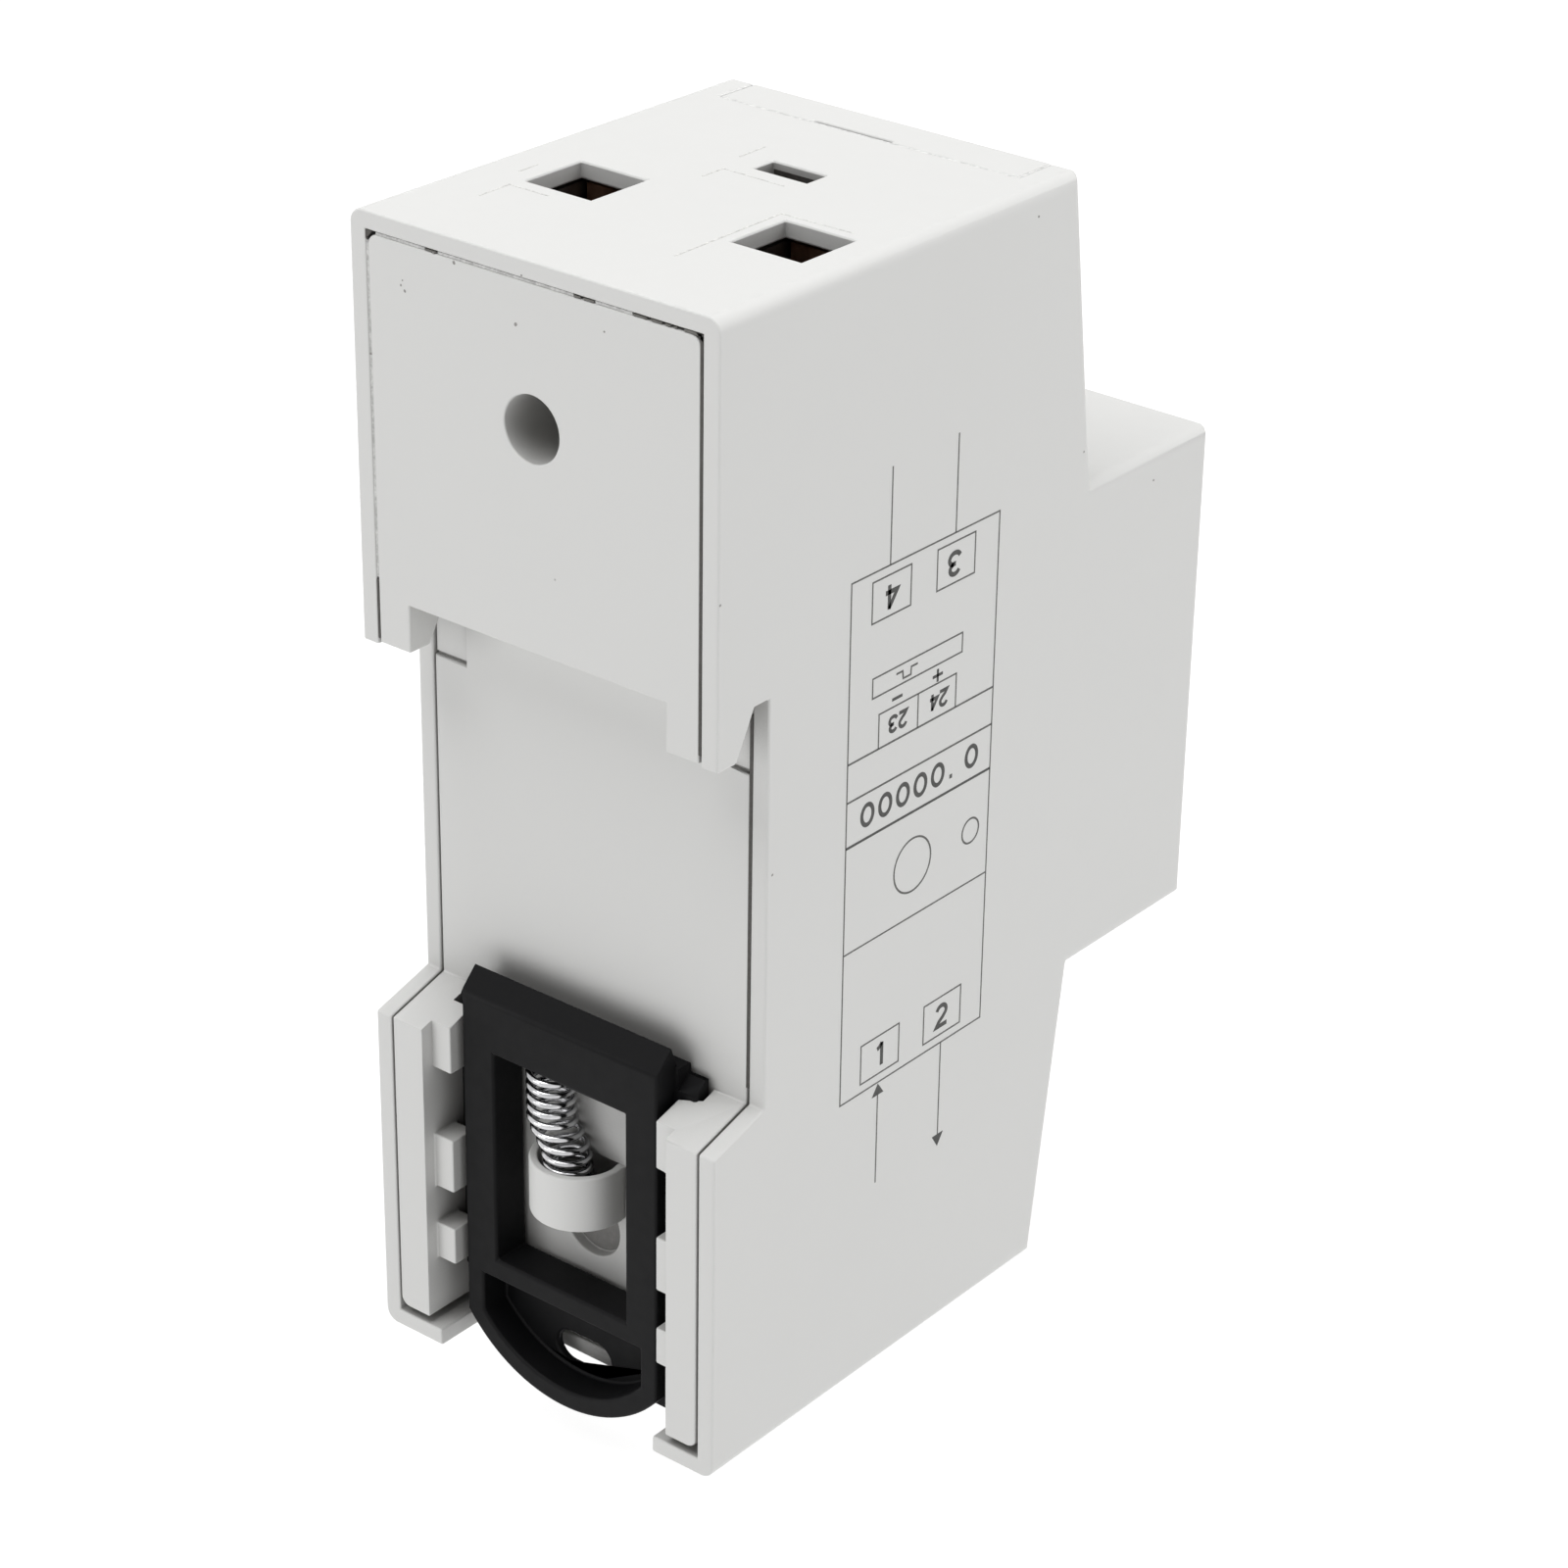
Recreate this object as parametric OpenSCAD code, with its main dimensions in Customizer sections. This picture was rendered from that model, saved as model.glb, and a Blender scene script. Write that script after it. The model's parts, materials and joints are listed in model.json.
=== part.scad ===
// Energy meter for a 35 mm top hat rail, two modules wide.
// The origin lies at the centre of the face that seats on the rail, with
// +Z up, +Y towards the rail and -Y towards the display.
// Sizes are in millimetres. A depth counts forward from the back plane and
// a drop counts down from the top end.

/* [Body] */
// Width of the meter, two modules
body_w = 36; // [35:0.5:38]
// Height from end to end
body_h = 99; // [96:1:104]
// Wall of the ends and of the front
wall = 1.5; // [1.2:0.1:1.8]
// Wall of the two wide sides
side_wall = 1.6; // [1.4:0.1:1.8]
// Rounding of the long edges
edge_r = 1.2; // [0.8:0.1:1.4]
// Depth of the meter at its two ends
end_depth = 43.4; // [42.5:0.1:44.5]
// Depth at the foot of the nose
shoulder_depth = 47.1; // [46:0.1:48]
// Depth at the face of the nose
nose_depth = 64; // [62:0.5:66]
// Height of the nose
nose_h = 44.4; // [43.5:0.1:45]

/* [Rail channel] */
// Depth of the seat behind the back plane
seat_depth = 6; // [5.8:0.1:6.4]
// Length of the body below the channel
foot_len = 31.9; // [31:0.1:32.5]
// Height of the channel
channel_h = 35.55; // [35.4:0.05:35.8]
// Fall of the hook below the channel's ceiling
hook_fall = 3.95; // [3:0.05:4.2]
// Thickness of the hook at its tip
hook_tip = 2.2; // [1.8:0.1:2.5]
// Thickness of the hook at its root
hook_root = 4.3; // [4:0.1:4.6]
// Fall of the lower shoulder towards the back plane
shoulder_fall = 1.8; // [1.2:0.1:2.4]

/* [Base] */
// Gap between the base and the case
base_gap = 0.2; // [0.1:0.05:0.25]
// Thickness of the back plate
plate_t = 1.6; // [1.4:0.1:2]
// Thickness of the seat wall
floor_t = 2; // [1.6:0.1:2.2]
// Width of the notch between the two feet
feet_gap = 26; // [25:0.5:27]
// Bore of the blind hole in the back plate
hole_bore = 5.4; // [5:0.1:6]
// Depth of the blind hole
hole_deep = 6; // [4:0.5:7]
// Distance between the two latch guides
guide_w = 26; // [25.8:0.1:26.4]
// Rounding of the base's four corners
corner_r = 0.9; // [0.5:0.1:1.2]
// Reach of the tabs over the latch
tab_reach = 2; // [1.6:0.1:2.1]
// Thickness of the tabs
tab_t = 2.6; // [2.4:0.05:2.7]
// Depth of the front face of the tabs
tab_depth = 1.2; // [1:0.05:1.3]

/* [Latch] */
// Width of the latch's face
latch_w = 20.8; // [20:0.2:21.4]
// Depth of the latch's outer face
latch_depth = 2; // [1.9:0.1:2.2]
// Thickness of the latch
latch_t = 3.65; // [3.4:0.05:3.75]
// Reach of the latch's lip into the channel
lip_reach = 3.7; // [3:0.1:3.9]
// Width of the window
window_w = 14.1; // [13:0.1:14.6]
// Height of the window
window_h = 19.7; // [19:0.1:20.2]
// Height of the bar over the window
bar_h = 6.5; // [6:0.1:7]
// Reach of the tongue below the body's end
tongue_reach = 2; // [1:0.5:3]
// Radius of the tongue's curve
tongue_r = 13; // [12:0.5:16]
// Rim around the thumb recess
thumb_rim = 1.8; // [1.4:0.1:2.2]
// Length of the slot for a screwdriver
slot_w = 5.9; // [5:0.1:7]
// Height of the slot for a screwdriver
slot_h = 3; // [2.4:0.1:3.4]
// Travel of the latch
latch_travel = 4; // [3:0.1:4]
// Gap around the sliding latch
slide_gap = 0.35; // [0.25:0.05:0.4]

/* [Spring] */
// Outer diameter of the spring
spring_od = 4.2; // [3.8:0.1:4.2]
// Diameter of the spring's wire
spring_wire = 0.55; // [0.4:0.05:0.6]
// Number of turns
spring_turns = 12; // [10:1:13]
// Outer radius of the cup that holds the spring
cup_r = 4.2; // [4.2:0.1:4.5]
// Wall of the cup
cup_wall = 0.7; // [0.6:0.1:0.7]
// Height of the cup
cup_h = 5; // [4.5:0.1:5.5]
// Distance from the latch's bar to the cup's mouth
cup_below = 8.1; // [7.7:0.1:8.5]

/* [Terminals] */
// Width of a wire entry
entry_w = 6.7; // [6:0.1:7]
// Depth of a wire entry, from back to front
entry_d = 6.4; // [6:0.1:6.8]
// Depth at which the wire entries begin
entry_back = 13; // [12.5:0.1:13.4]
// Distance from the left side to the middle of the left wire entries
left_inset = 6.65; // [6.55:0.05:6.9]
// Distance from the right side to the middle of the right wire entries
right_inset = 9.05; // [8.8:0.05:9.4]
// Wall of a clamp cage
cage_wall = 1.25; // [1.1:0.05:1.4]
// Length of a clamp cage along the wire
cage_len = 8.5; // [7:0.5:8.5]
// Height of the threaded head of a cage
cage_nut = 4; // [3.5:0.1:4.4]
// Travel of a clamp cage
cage_travel = 6.2; // [5:0.1:6.2]
// Thickness of the current bars
bar_t = 1.8; // [1.5:0.1:2]
// Diameter of the clamp screws
clamp_d = 5; // [4.5:0.1:5.2]
// Diameter of the heads of the clamp screws
head_d = 8; // [7:0.1:8.2]
// Height of the heads of the clamp screws
head_h = 3; // [2.5:0.1:3.2]
// Width of the entry for the pulse wires
pulse_w = 5.3; // [4.8:0.1:5.6]
// Depth of the entry for the pulse wires
pulse_d = 2.45; // [2.2:0.05:2.6]
// Depth at which the pulse entry begins
pulse_back = 27; // [26.8:0.1:27.4]
// Diameter of the pulse screws
pulse_screw_d = 2; // [1.6:0.1:2.4]

/* [Covers] */
// Depth at which the terminal covers begin
cover_depth = 38.9; // [38.4:0.1:39.2]
// Width of the case's cheek beside a cover
cheek_w = 2.95; // [2.7:0.05:3.4]
// Gap around the covers
cover_gap = 0.15; // [0.1:0.05:0.25]
// Width of the notch for a thumb nail
nail_w = 7.8; // [6:0.2:9]

/* [Display] */
// Distance from the side to the display opening
window_margin = 4.5; // [4.5:0.1:6]
// Height of the display opening
window_z = 9.7; // [9:0.1:10.5]
// Height of the middle of the display above the seat
window_up = 13.1; // [12.8:0.1:13.5]
// Radius of the lens of the optical port
port_r = 4.4; // [4:0.1:4.6]
// Radius of the light pipe
pipe_r = 1.5; // [1.2:0.1:1.6]
// Distance from the right side to the middle of the light pipe
pipe_inset = 4.6; // [4.4:0.1:6]
// Width of the case's rim around the front label
label_rim = 2; // [1.8:0.1:3]
// Drop of the lens and of the light pipe below the seat
port_down = 7.6; // [7.2:0.1:8]
// Thickness of the front label
label_t = 0.2; // [0.15:0.05:0.3]

/* [Electronics] */
// Thickness of the circuit boards
board_t = 1.6; // [1.2:0.1:1.6]
// Depth of the back of the main board
board_depth = 22.4; // [22.2:0.1:22.8]
// Distance from the nose's face back to the display board
display_set_back = 10; // [9.6:0.1:10.5]
// Length of the film capacitor
film_len = 18; // [16:0.5:20]
// Diameter of the smoothing capacitor
can_d = 10; // [8:0.5:11]
// Height of the smoothing capacitor
can_h = 16; // [12:0.5:20]
// Diameter of the varistor
varistor_d = 10; // [8:0.5:11]

/* [Hidden] */
$fn = 48;

shell_white = [0.86, 0.86, 0.84];
latch_black = [0.07, 0.07, 0.07];
bright_steel = [0.75, 0.75, 0.76];
brass = [0.78, 0.6, 0.32];
copper = [0.75, 0.43, 0.26];
board_green = [0.1, 0.35, 0.2];
chip_black = [0.12, 0.12, 0.13];
clear_grey = [0.75, 0.8, 0.82];

// Depths and drops that follow from the sizes above
eps = 0.01;
over = 5;
half_w = body_w/2;
inner_x = half_w - side_wall;
base_x = inner_x - base_gap;
nose_top = (body_h - nose_h)/2;
nose_bottom = nose_top + nose_h;
slope_angle = atan((shoulder_depth - end_depth)/nose_top);
channel_end = body_h - foot_len;
channel_drop = channel_end - channel_h;
hook_drop = channel_drop + hook_fall;
// Between the feet the ceiling of the base is a little higher
ceiling_drop = channel_drop - 0.3;
guide_x = guide_w/2;
// The blind hole lies a little above the middle of the back plate
hole_drop = 0.415*channel_drop;
tab_x = guide_x - tab_reach;
tab_back = tab_depth + tab_t;
base_end = body_h - wall - 0.75;
foot_short = 0.25;
// Ends of the first tab, then starts and ends of the others
tab_1_end = channel_end + 5.8;
tab_2 = [channel_end + 12.2, channel_end + 17.2];
tab_3 = [channel_end + 20.8, channel_end + 24.2];
// The pocket in an upper corner of the seat wall, with a line around it
pocket_deep = 0.3;
pocket_len = 6.8;
line_w = 0.25;
line_deep = 0.5;
ejector_r = 2.95;
lip_drop = channel_end - lip_reach;
tongue_drop = body_h + tongue_reach;
latch_back = latch_depth + latch_t;
window_top = lip_drop + bar_h;
window_bottom = window_top + window_h;
latch_x = latch_w/2;
flange_x = guide_x - slide_gap;
flange_depth = tab_back + slide_gap;
flange_end = body_h - wall - latch_travel - 0.2;
// The lip's edge, its slope in front and its step behind
lip_edge = 3.75;
lip_slope = 1.8;
lip_step = 1.8;
lip_lean = 0.65;
// Upper ends of the ears and of the flanges
ear_reach = 0.45;
ear_len = 2;
flange_drop = lip_drop + 2.7;
flange_slope = 1.2;
flange_edge = 0.4;
thumb_drop = window_bottom + 1.9;
thumb_depth = latch_back - 0.85;
slot_drop = tongue_drop - 3.8;
cup_drop = window_top + cup_below;
cup_x = 0.5;
cup_depth = seat_depth - 0.8;
cup_floor = 0.7;
notch_x = latch_x + 1.25;
notch_depth = seat_depth + 0.6;
// The lower end of the latch's plate stands in the notch of the end wall
plate_x = notch_x - 0.25;
plate_end = body_h - 1;
deck_depth = cover_depth - wall;
// The chambers of the clamps lie between the end and this inner wall
cage_start = wall + 0.3;
chamber_len = cage_start + cage_len + 1;
chamber_wall = 1.2;
cage_x = entry_w/2 + 0.2 + cage_wall;
cage_back = entry_back - 0.2 - cage_wall;
entry_front = entry_back + entry_d;
bar_depth = entry_front + 0.4;
screw_tip = bar_depth + bar_t + 0.1;
nut_start = screw_tip + 2.2;
nut_front = nut_start + cage_nut;
head_depth = nut_front + cage_travel + 0.6;
head_end = head_depth + head_h;
cover_x = half_w - cheek_w;
board_front = board_depth + board_t;
face_depth = nose_depth - label_t;
display_depth = nose_depth - display_set_back;
display_back = display_depth - board_t;
window_x = body_w - 2*window_margin;
label_x = half_w - label_rim;
skin_depth = nose_depth - wall;
pipe_x = half_w - pipe_inset;
lens_x = -1.4;

term_shift = (left_inset - right_inset)/2;
// Middle of the boards, from which their parts are placed
mid = body_h/2;
// Room round a part that sits in an opening, and round a loose board
fit = 0.1;
board_room = 0.2;
// Holes in a cover show the heads of its screws
head_view = head_d/2 - 0.5;
// The nail notch of a cover stands off its middle
nail_shift = 2.6;
nail_deep = 0.55;
// Ribs that the boards rest on
rib_in = 0.7;
rib_w = 1.5;
rib_len = 6;
// Mark of the ejector pin below the cup
mark_below = 2;
mark_deep = 1;
// The bars of the two ends: their width, their link and their pins
bar_w = entry_w - 0.4;
neutral_link = chamber_len + 3;
shunt_link = chamber_len + 8;
pin_r = 0.6;
screw_slot_w = 1.2;
screw_slot_deep = 1.4;
// Pulse output: its board tongue and the spaces in its block and cages
pulse_screw_drop = 6.8;
pulse_pitch = 3.9;
pulse_cage_start = wall + 2.5;
tongue_x = 4.2;
cell_x = 1.55;
cage_half = 1.45;
wire_half = 0.95;
pulse_slot_w = 0.5;
pulse_head_t = 2;
// The spring leans from the cup towards the latch's bar
spring_r = (spring_od - spring_wire)/2;
spring_low = cup_drop + cup_h - cup_floor - spring_wire/2 - 0.02;
spring_high = window_top + spring_wire/2 + 0.02;
spring_low_x = 0.7;
spring_high_x = 2.3;
spring_low_depth = 4.6;
spring_high_depth = 3.8;
lean_len = 3.5;
ring_sides = 6;
steps_per_turn = 18;
// Pin strip between the boards
pin_count = 8;
pin_pitch = 2.54;
pin_w = 0.64;
strip_t = 2.5;
strip_down = 6;
// Places and sizes of the parts on the main board
supply_up = 9.5;
sense_down = 16.5;
film_x = -4;
film_w = 8.5;
film_h = 14;
can_x = 8.5;
can_down = 1.5;
varistor_x = -9.5;
varistor_down = 4.5;
varistor_t = 4;
resistor_x = -10;
resistor_d = 4;
resistor_len = 12;
lead_r = 0.35;
chip_x = 3;
chip_w = 7;
chip_t = 1.2;
bridge_w = 6.5;
bridge_len = 8;
bridge_t = 3;
opto_w = 6.4;
opto_len = 4.6;
opto_t = 3.4;
opto_down = chamber_len + 8.5;
crystal_x = 10.5;
crystal_w = 4.6;
crystal_len = 10.8;
crystal_t = 3.5;
// Display: the flange of a clear part, the glass and its tray
flange_w = 0.8;
lcd_front = skin_depth - 0.9;
lcd_t = 2.6;
tray_w = 1.7;

function at_y(depth) = seat_depth - depth;
function at_z(drop) = body_h/2 - drop;
// Sides of the four terminals: 1 and 2 below, 3 and 4 above
function term_x(i) = (i == 1 || i == 4) ? left_inset - half_w : half_w - right_inset;
function term_up(i) = i > 2;
function pulse_x() = [term_shift - pulse_pitch/2, term_shift + pulse_pitch/2];

// A box from its sides, depths and drops
module block(x0, x1, d0, d1, h0, h1)
    translate([x0, at_y(d1), at_z(h1)])
        cube([x1 - x0, d1 - d0, h1 - h0]);

// An outline of depths and drops, carried across from x0 to x1
module slab(x0, x1, outline)
    translate([x0, 0, 0])
        rotate([90, 0, 90])
            linear_extrude(x1 - x0)
                polygon([for (p = outline) [at_y(p[0]), at_z(p[1])]]);

// A round bar that runs forward from depth d0 to depth d1
module bar(x, h, r, d0, d1)
    translate([x, at_y(d0), at_z(h)])
        rotate([90, 0, 0])
            cylinder(r = r, h = d1 - d0);

// A round bar that runs down from drop h0 to drop h1
module post(x, d, r, h0, h1)
    translate([x, at_y(d), at_z(h1)])
        cylinder(r = r, h = h1 - h0);

// Its children at both ends of the meter
module both_ends() {
    children();
    mirror([0, 0, 1]) children();
}

// Its children at the end that terminal i belongs to
module at_end(i)
    if (term_up(i)) children();
    else mirror([0, 0, 1]) children();

module round_rect(w, h, r) {
    square([w - 2*r, h], center = true);
    square([w, h - 2*r], center = true);
    for (x = [-1, 1], y = [-1, 1])
        translate([x*(w/2 - r), y*(h/2 - r)]) circle(r = r);
}

// The section from the side, without the rail channel
module end_form()
    slab(-half_w, half_w, [
        [0, 0], [end_depth, 0], [shoulder_depth, nose_top],
        [shoulder_depth, nose_bottom], [end_depth, body_h], [0, body_h]]);

// A prism whose front edges are rounded along the slope of one end
module sloped_prism()
    translate([0, at_y(end_depth), at_z(0)])
        rotate([-slope_angle, 0, 0])
            translate([0, body_h/2, -body_h/2 - over])
                linear_extrude(body_h/2 + 4*over)
                    round_rect(body_w, body_h, edge_r);

module outer_form() {
    intersection() {
        end_form();
        translate([0, at_y(0) + over, 0])
            rotate([90, 0, 0])
                linear_extrude(shoulder_depth + 2*over)
                    round_rect(body_w, body_h, edge_r);
        both_ends()
            intersection() {
                sloped_prism();
                block(-half_w, half_w, -over, nose_depth, -over, body_h/2);
            }
    }
    intersection() {
        translate([0, at_y(cover_depth), 0])
            rotate([90, 0, 0])
                linear_extrude(nose_depth - cover_depth)
                    round_rect(body_w, nose_h, edge_r);
        translate([0, at_y(nose_depth - body_w/2), 0])
            linear_extrude(nose_h, center = true)
                round_rect(body_w, body_w, edge_r);
    }
}

// The space of the rail, with the hook above and the shoulder below
module rail_space(x0, x1, fall)
    slab(x0, x1, [
        [-over, channel_drop + fall], [hook_tip, channel_drop + fall],
        [(hook_tip + hook_root)/2 + 0.15, channel_drop + 0.45*fall],
        [hook_root, channel_drop], [seat_depth, channel_drop],
        [seat_depth, channel_end],
        [-over, channel_end + shoulder_fall*(seat_depth + over)/seat_depth]]);

module outer_case() {
    color(shell_white) {
        difference() {
            outer_form();
            block(-inner_x, inner_x, -over, deck_depth, wall, body_h - wall);
            block(-inner_x, inner_x, deck_depth - eps, skin_depth,
                nose_top + wall, nose_bottom - wall);
            rail_space(-half_w - over, half_w + over, hook_fall);
            block(-notch_x, notch_x, -over, notch_depth, body_h - wall - eps, body_h + over);
            // Recess of the front label, then the openings of the display
            block(-label_x - 0.2, label_x + 0.2, face_depth, nose_depth + over,
                nose_top + label_rim - 0.2, nose_bottom - label_rim + 0.2);
            block(-window_x/2, window_x/2, skin_depth - eps, nose_depth,
                mid - window_up - window_z/2, mid - window_up + window_z/2);
            bar(lens_x, mid + port_down, port_r + fit, skin_depth - eps, nose_depth);
            bar(pipe_x, mid + port_down, pipe_r + fit, skin_depth - eps, nose_depth);
            for (i = [1:4]) at_end(i) {
                block(term_x(i) - entry_w/2, term_x(i) + entry_w/2,
                    entry_back, entry_front, -over, wall + eps);
                bar(term_x(i), cage_start + cage_len/2, head_d/2 + 0.3,
                    deck_depth - eps, cover_depth + eps);
            }
            block(term_shift - pulse_w/2, term_shift + pulse_w/2,
                pulse_back, pulse_back + pulse_d, -over, wall + eps);
            for (x = pulse_x())
                bar(x, pulse_screw_drop, pulse_screw_d/2 + 0.7,
                    deck_depth - eps, cover_depth + eps);
            both_ends() cover_space(0);
        }
        // Walls between the clamps and the boards, cut for the current bars
        both_ends()
            difference() {
                block(-inner_x - eps, inner_x + eps, seat_depth + floor_t + 0.5,
                    deck_depth + eps, chamber_len, chamber_len + chamber_wall);
                for (i = [3, 4])
                    block(term_x(i) - cage_x, term_x(i) + cage_x,
                        bar_depth - 0.3, bar_depth + bar_t + 0.3,
                        chamber_len - eps, chamber_len + chamber_wall + eps);
                block(term_shift - tongue_x - 0.4, term_shift + tongue_x + 0.4, board_depth - 0.3,
                    deck_depth + over, chamber_len - eps, chamber_len + chamber_wall + eps);
            }
        // Ribs that the two boards rest on
        for (side = [-1, 1], h = [chamber_len + 3, body_h - chamber_len - 3 - rib_len])
            block(side*(inner_x - rib_in) - rib_w/2, side*(inner_x - rib_in) + rib_w/2,
                board_front, deck_depth + eps, h, h + rib_len);
        for (side = [-1, 1], h = [nose_top + wall - eps, nose_bottom - wall - rib_len])
            block(side*(inner_x - rib_in) - rib_w/2, side*(inner_x - rib_in) + rib_w/2,
                display_depth, skin_depth + eps, h, h + rib_len + eps);
    }
}

// The space that a terminal cover fills at the upper end
module cover_space(gap)
    block(-cover_x + gap, cover_x - gap, cover_depth + gap, shoulder_depth + over,
        -over, nose_top - gap);

// A shell over the terminal screws, with a leg at each side
module terminal_cover() {
    color(shell_white)
    difference() {
        intersection() {
            outer_form();
            cover_space(cover_gap);
        }
        // The hollow keeps a front wall, an end wall and two side walls
        slab(-cover_x + cover_gap + wall, cover_x - cover_gap - wall, [
            [cover_depth - over, wall], [end_depth - wall + 0.2, wall],
            [shoulder_depth - wall, nose_top - wall],
            [cover_depth - over, nose_top - wall]]);
        block(term_shift + nail_shift - nail_w/2, term_shift + nail_shift + nail_w/2,
            cover_depth - over, cover_depth + nail_deep, -over, wall + eps);
    }
}

module upper_terminal_cover() difference() {
    terminal_cover();
    for (i = [3, 4])
        bar(term_x(i), cage_start + cage_len/2, head_view, cover_depth, nose_depth);
}

module lower_terminal_cover() mirror([0, 0, 1]) difference() {
    terminal_cover();
    for (i = [3, 4])
        bar(term_x(i), cage_start + cage_len/2, head_view, cover_depth, nose_depth);
}

// One tab that keeps the latch on its seat wall
module tab(ends)
    block(tab_x, guide_x + eps, tab_depth, tab_back, ends[0], ends[1]);

// The drop of the lower shoulder at a depth
function shoulder(depth) = channel_end + shoulder_fall*(1 - depth/seat_depth);

// The outline of the base from the back, with rounded corners
module base_outline()
    translate([0, at_z((wall + base_gap + base_end)/2)])
        round_rect(2*base_x, base_end - wall - base_gap, corner_r);

module back_base() {
    color(shell_white)
    difference() {
        intersection() {
            union() {
                // Back plate, ceiling of the channel and seat wall
                block(-base_x, base_x, 0, plate_t, wall + base_gap, channel_drop + eps);
                block(-base_x, base_x, 0, seat_depth + floor_t,
                    ceiling_drop - wall, channel_drop + eps);
                block(-base_x, base_x, seat_depth, seat_depth + floor_t,
                    channel_drop - wall, base_end);
                for (side = [0, 1]) mirror([side, 0, 0]) {
                    block(feet_gap/2, base_x, 0, hook_root + 1,
                        ceiling_drop - eps, hook_drop - foot_short);
                    // Pillar beside the latch, with its tabs
                    slab(guide_x, base_x, [
                        [0, shoulder(0)], [seat_depth + eps, channel_end],
                        [seat_depth + eps, base_end], [0, base_end]]);
                    slab(tab_x, guide_x + eps, [
                        [tab_depth, shoulder(tab_depth)], [tab_back, shoulder(tab_back)],
                        [tab_back, tab_1_end], [tab_depth, tab_1_end]]);
                    tab(tab_2);
                    tab(tab_3);
                }
                // Boss of the blind hole and cup of the spring
                bar(0, hole_drop, hole_bore/2 + 0.9, 0, hole_deep + 0.9);
                post(cup_x, cup_depth, cup_r, cup_drop, cup_drop + cup_h);
            }
            sheet(-eps, seat_depth + floor_t + over) base_outline();
        }
        rail_space(-half_w, half_w, hook_fall - foot_short);
        block(-feet_gap/2, feet_gap/2, -over, seat_depth, ceiling_drop, channel_drop + over);
        // Shallow pockets in the upper corners of the seat wall
        for (side = [0, 1]) mirror([side, 0, 0]) {
            block(guide_x, base_x + eps, seat_depth - eps, seat_depth + pocket_deep,
                channel_drop, channel_drop + pocket_len);
            difference() {
                block(guide_x - line_w, base_x + eps, seat_depth - eps,
                    seat_depth + line_deep, channel_drop, channel_drop + pocket_len + eps);
                block(guide_x, base_x + over, 0, seat_depth + over,
                    channel_drop - over, channel_drop + pocket_len - line_w);
            }
        }
        bar(0, hole_drop, hole_bore/2, -over, hole_deep);
        post(cup_x, cup_depth, cup_r - cup_wall, cup_drop - eps, cup_drop + cup_h - cup_floor);
        bar(0, cup_drop + cup_h + mark_below, ejector_r, seat_depth - eps, seat_depth + mark_deep);
    }
}

// The outline of the latch's face, from a drop downwards, shrunk by a rim
module latch_face(top, rim)
    intersection() {
        translate([-latch_x + rim, at_z(tongue_drop) - over])
            square([2*(latch_x - rim), tongue_drop - top + over]);
        union() {
            translate([0, at_z(tongue_drop - tongue_r)]) circle(r = tongue_r - rim, $fn = 96);
            translate([-latch_w, at_z(tongue_drop - tongue_r)])
                square([2*latch_w, body_h]);
        }
    }

// A flat form seen from the back, from depth d0 to depth d1
module sheet(d0, d1)
    translate([0, at_y(d0), 0])
        rotate([90, 0, 0])
            linear_extrude(d1 - d0) children();

module rail_latch() {
    color(latch_black)
    difference() {
        union() {
            sheet(latch_depth, latch_back) latch_face(lip_drop, 0);
            // Flanges that run behind the tabs, and the ears above them
            slab(-flange_x, flange_x, [
                [flange_depth, flange_drop + flange_slope],
                [latch_back - flange_edge, flange_drop], [latch_back, flange_drop],
                [latch_back, flange_end], [flange_depth, flange_end]]);
            block(-latch_x - ear_reach, latch_x + ear_reach, flange_depth, latch_back,
                lip_drop + lip_step, lip_drop + lip_step + ear_len);
            block(-plate_x, plate_x, flange_depth, latch_back, flange_end - eps, plate_end);
        }
        block(-window_w/2, window_w/2, 0, seat_depth, window_top, window_bottom);
        // The lip comes to an edge, with a slope in front and a step behind
        slab(-half_w, half_w, [
            [latch_depth - over, lip_drop - over], [lip_edge, lip_drop - over],
            [lip_edge, lip_drop], [latch_depth, lip_drop + lip_slope],
            [latch_depth - over, lip_drop + lip_slope]]);
        slab(-latch_x - eps, latch_x + eps, [
            [lip_edge, lip_drop - eps], [lip_edge + lip_lean, lip_drop + lip_step],
            [latch_back + over, lip_drop + lip_step], [latch_back + over, lip_drop - over],
            [lip_edge, lip_drop - over]]);
        sheet(latch_depth - over, thumb_depth) latch_face(thumb_drop, thumb_rim);
        sheet(0, seat_depth) {
            translate([0, at_z(slot_drop)]) {
                square([slot_w - slot_h, slot_h], center = true);
                for (side = [-1, 1])
                    translate([side*(slot_w - slot_h)/2, 0]) circle(r = slot_h/2);
            }
        }
    }
}

// The spring leans from the cup towards the bar of the latch
function smooth(u) = let (v = max(0, min(1, u))) v*v*(3 - 2*v);
function spring_h(t) = spring_low + (spring_high - spring_low)*t;
function spring_x(t) = spring_low_x
    + (spring_high_x - spring_low_x)*smooth((cup_drop - 0.1 - spring_h(t))/lean_len);
function spring_d(t) = spring_high_depth
    + (spring_low_depth - spring_high_depth)*smooth((spring_h(t) - cup_drop)/(cup_h - 1));
function turn(t) = [cos(360*spring_turns*t), sin(360*spring_turns*t)];
function spring_ring(t) = [
    for (k = [0:ring_sides - 1])
        let (a = 360*k/ring_sides, r = spring_r + spring_wire/2*cos(a))
        [spring_x(t) + r*turn(t)[0], at_y(spring_d(t)) + r*turn(t)[1],
         at_z(spring_h(t)) + spring_wire/2*sin(a)]];

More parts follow.
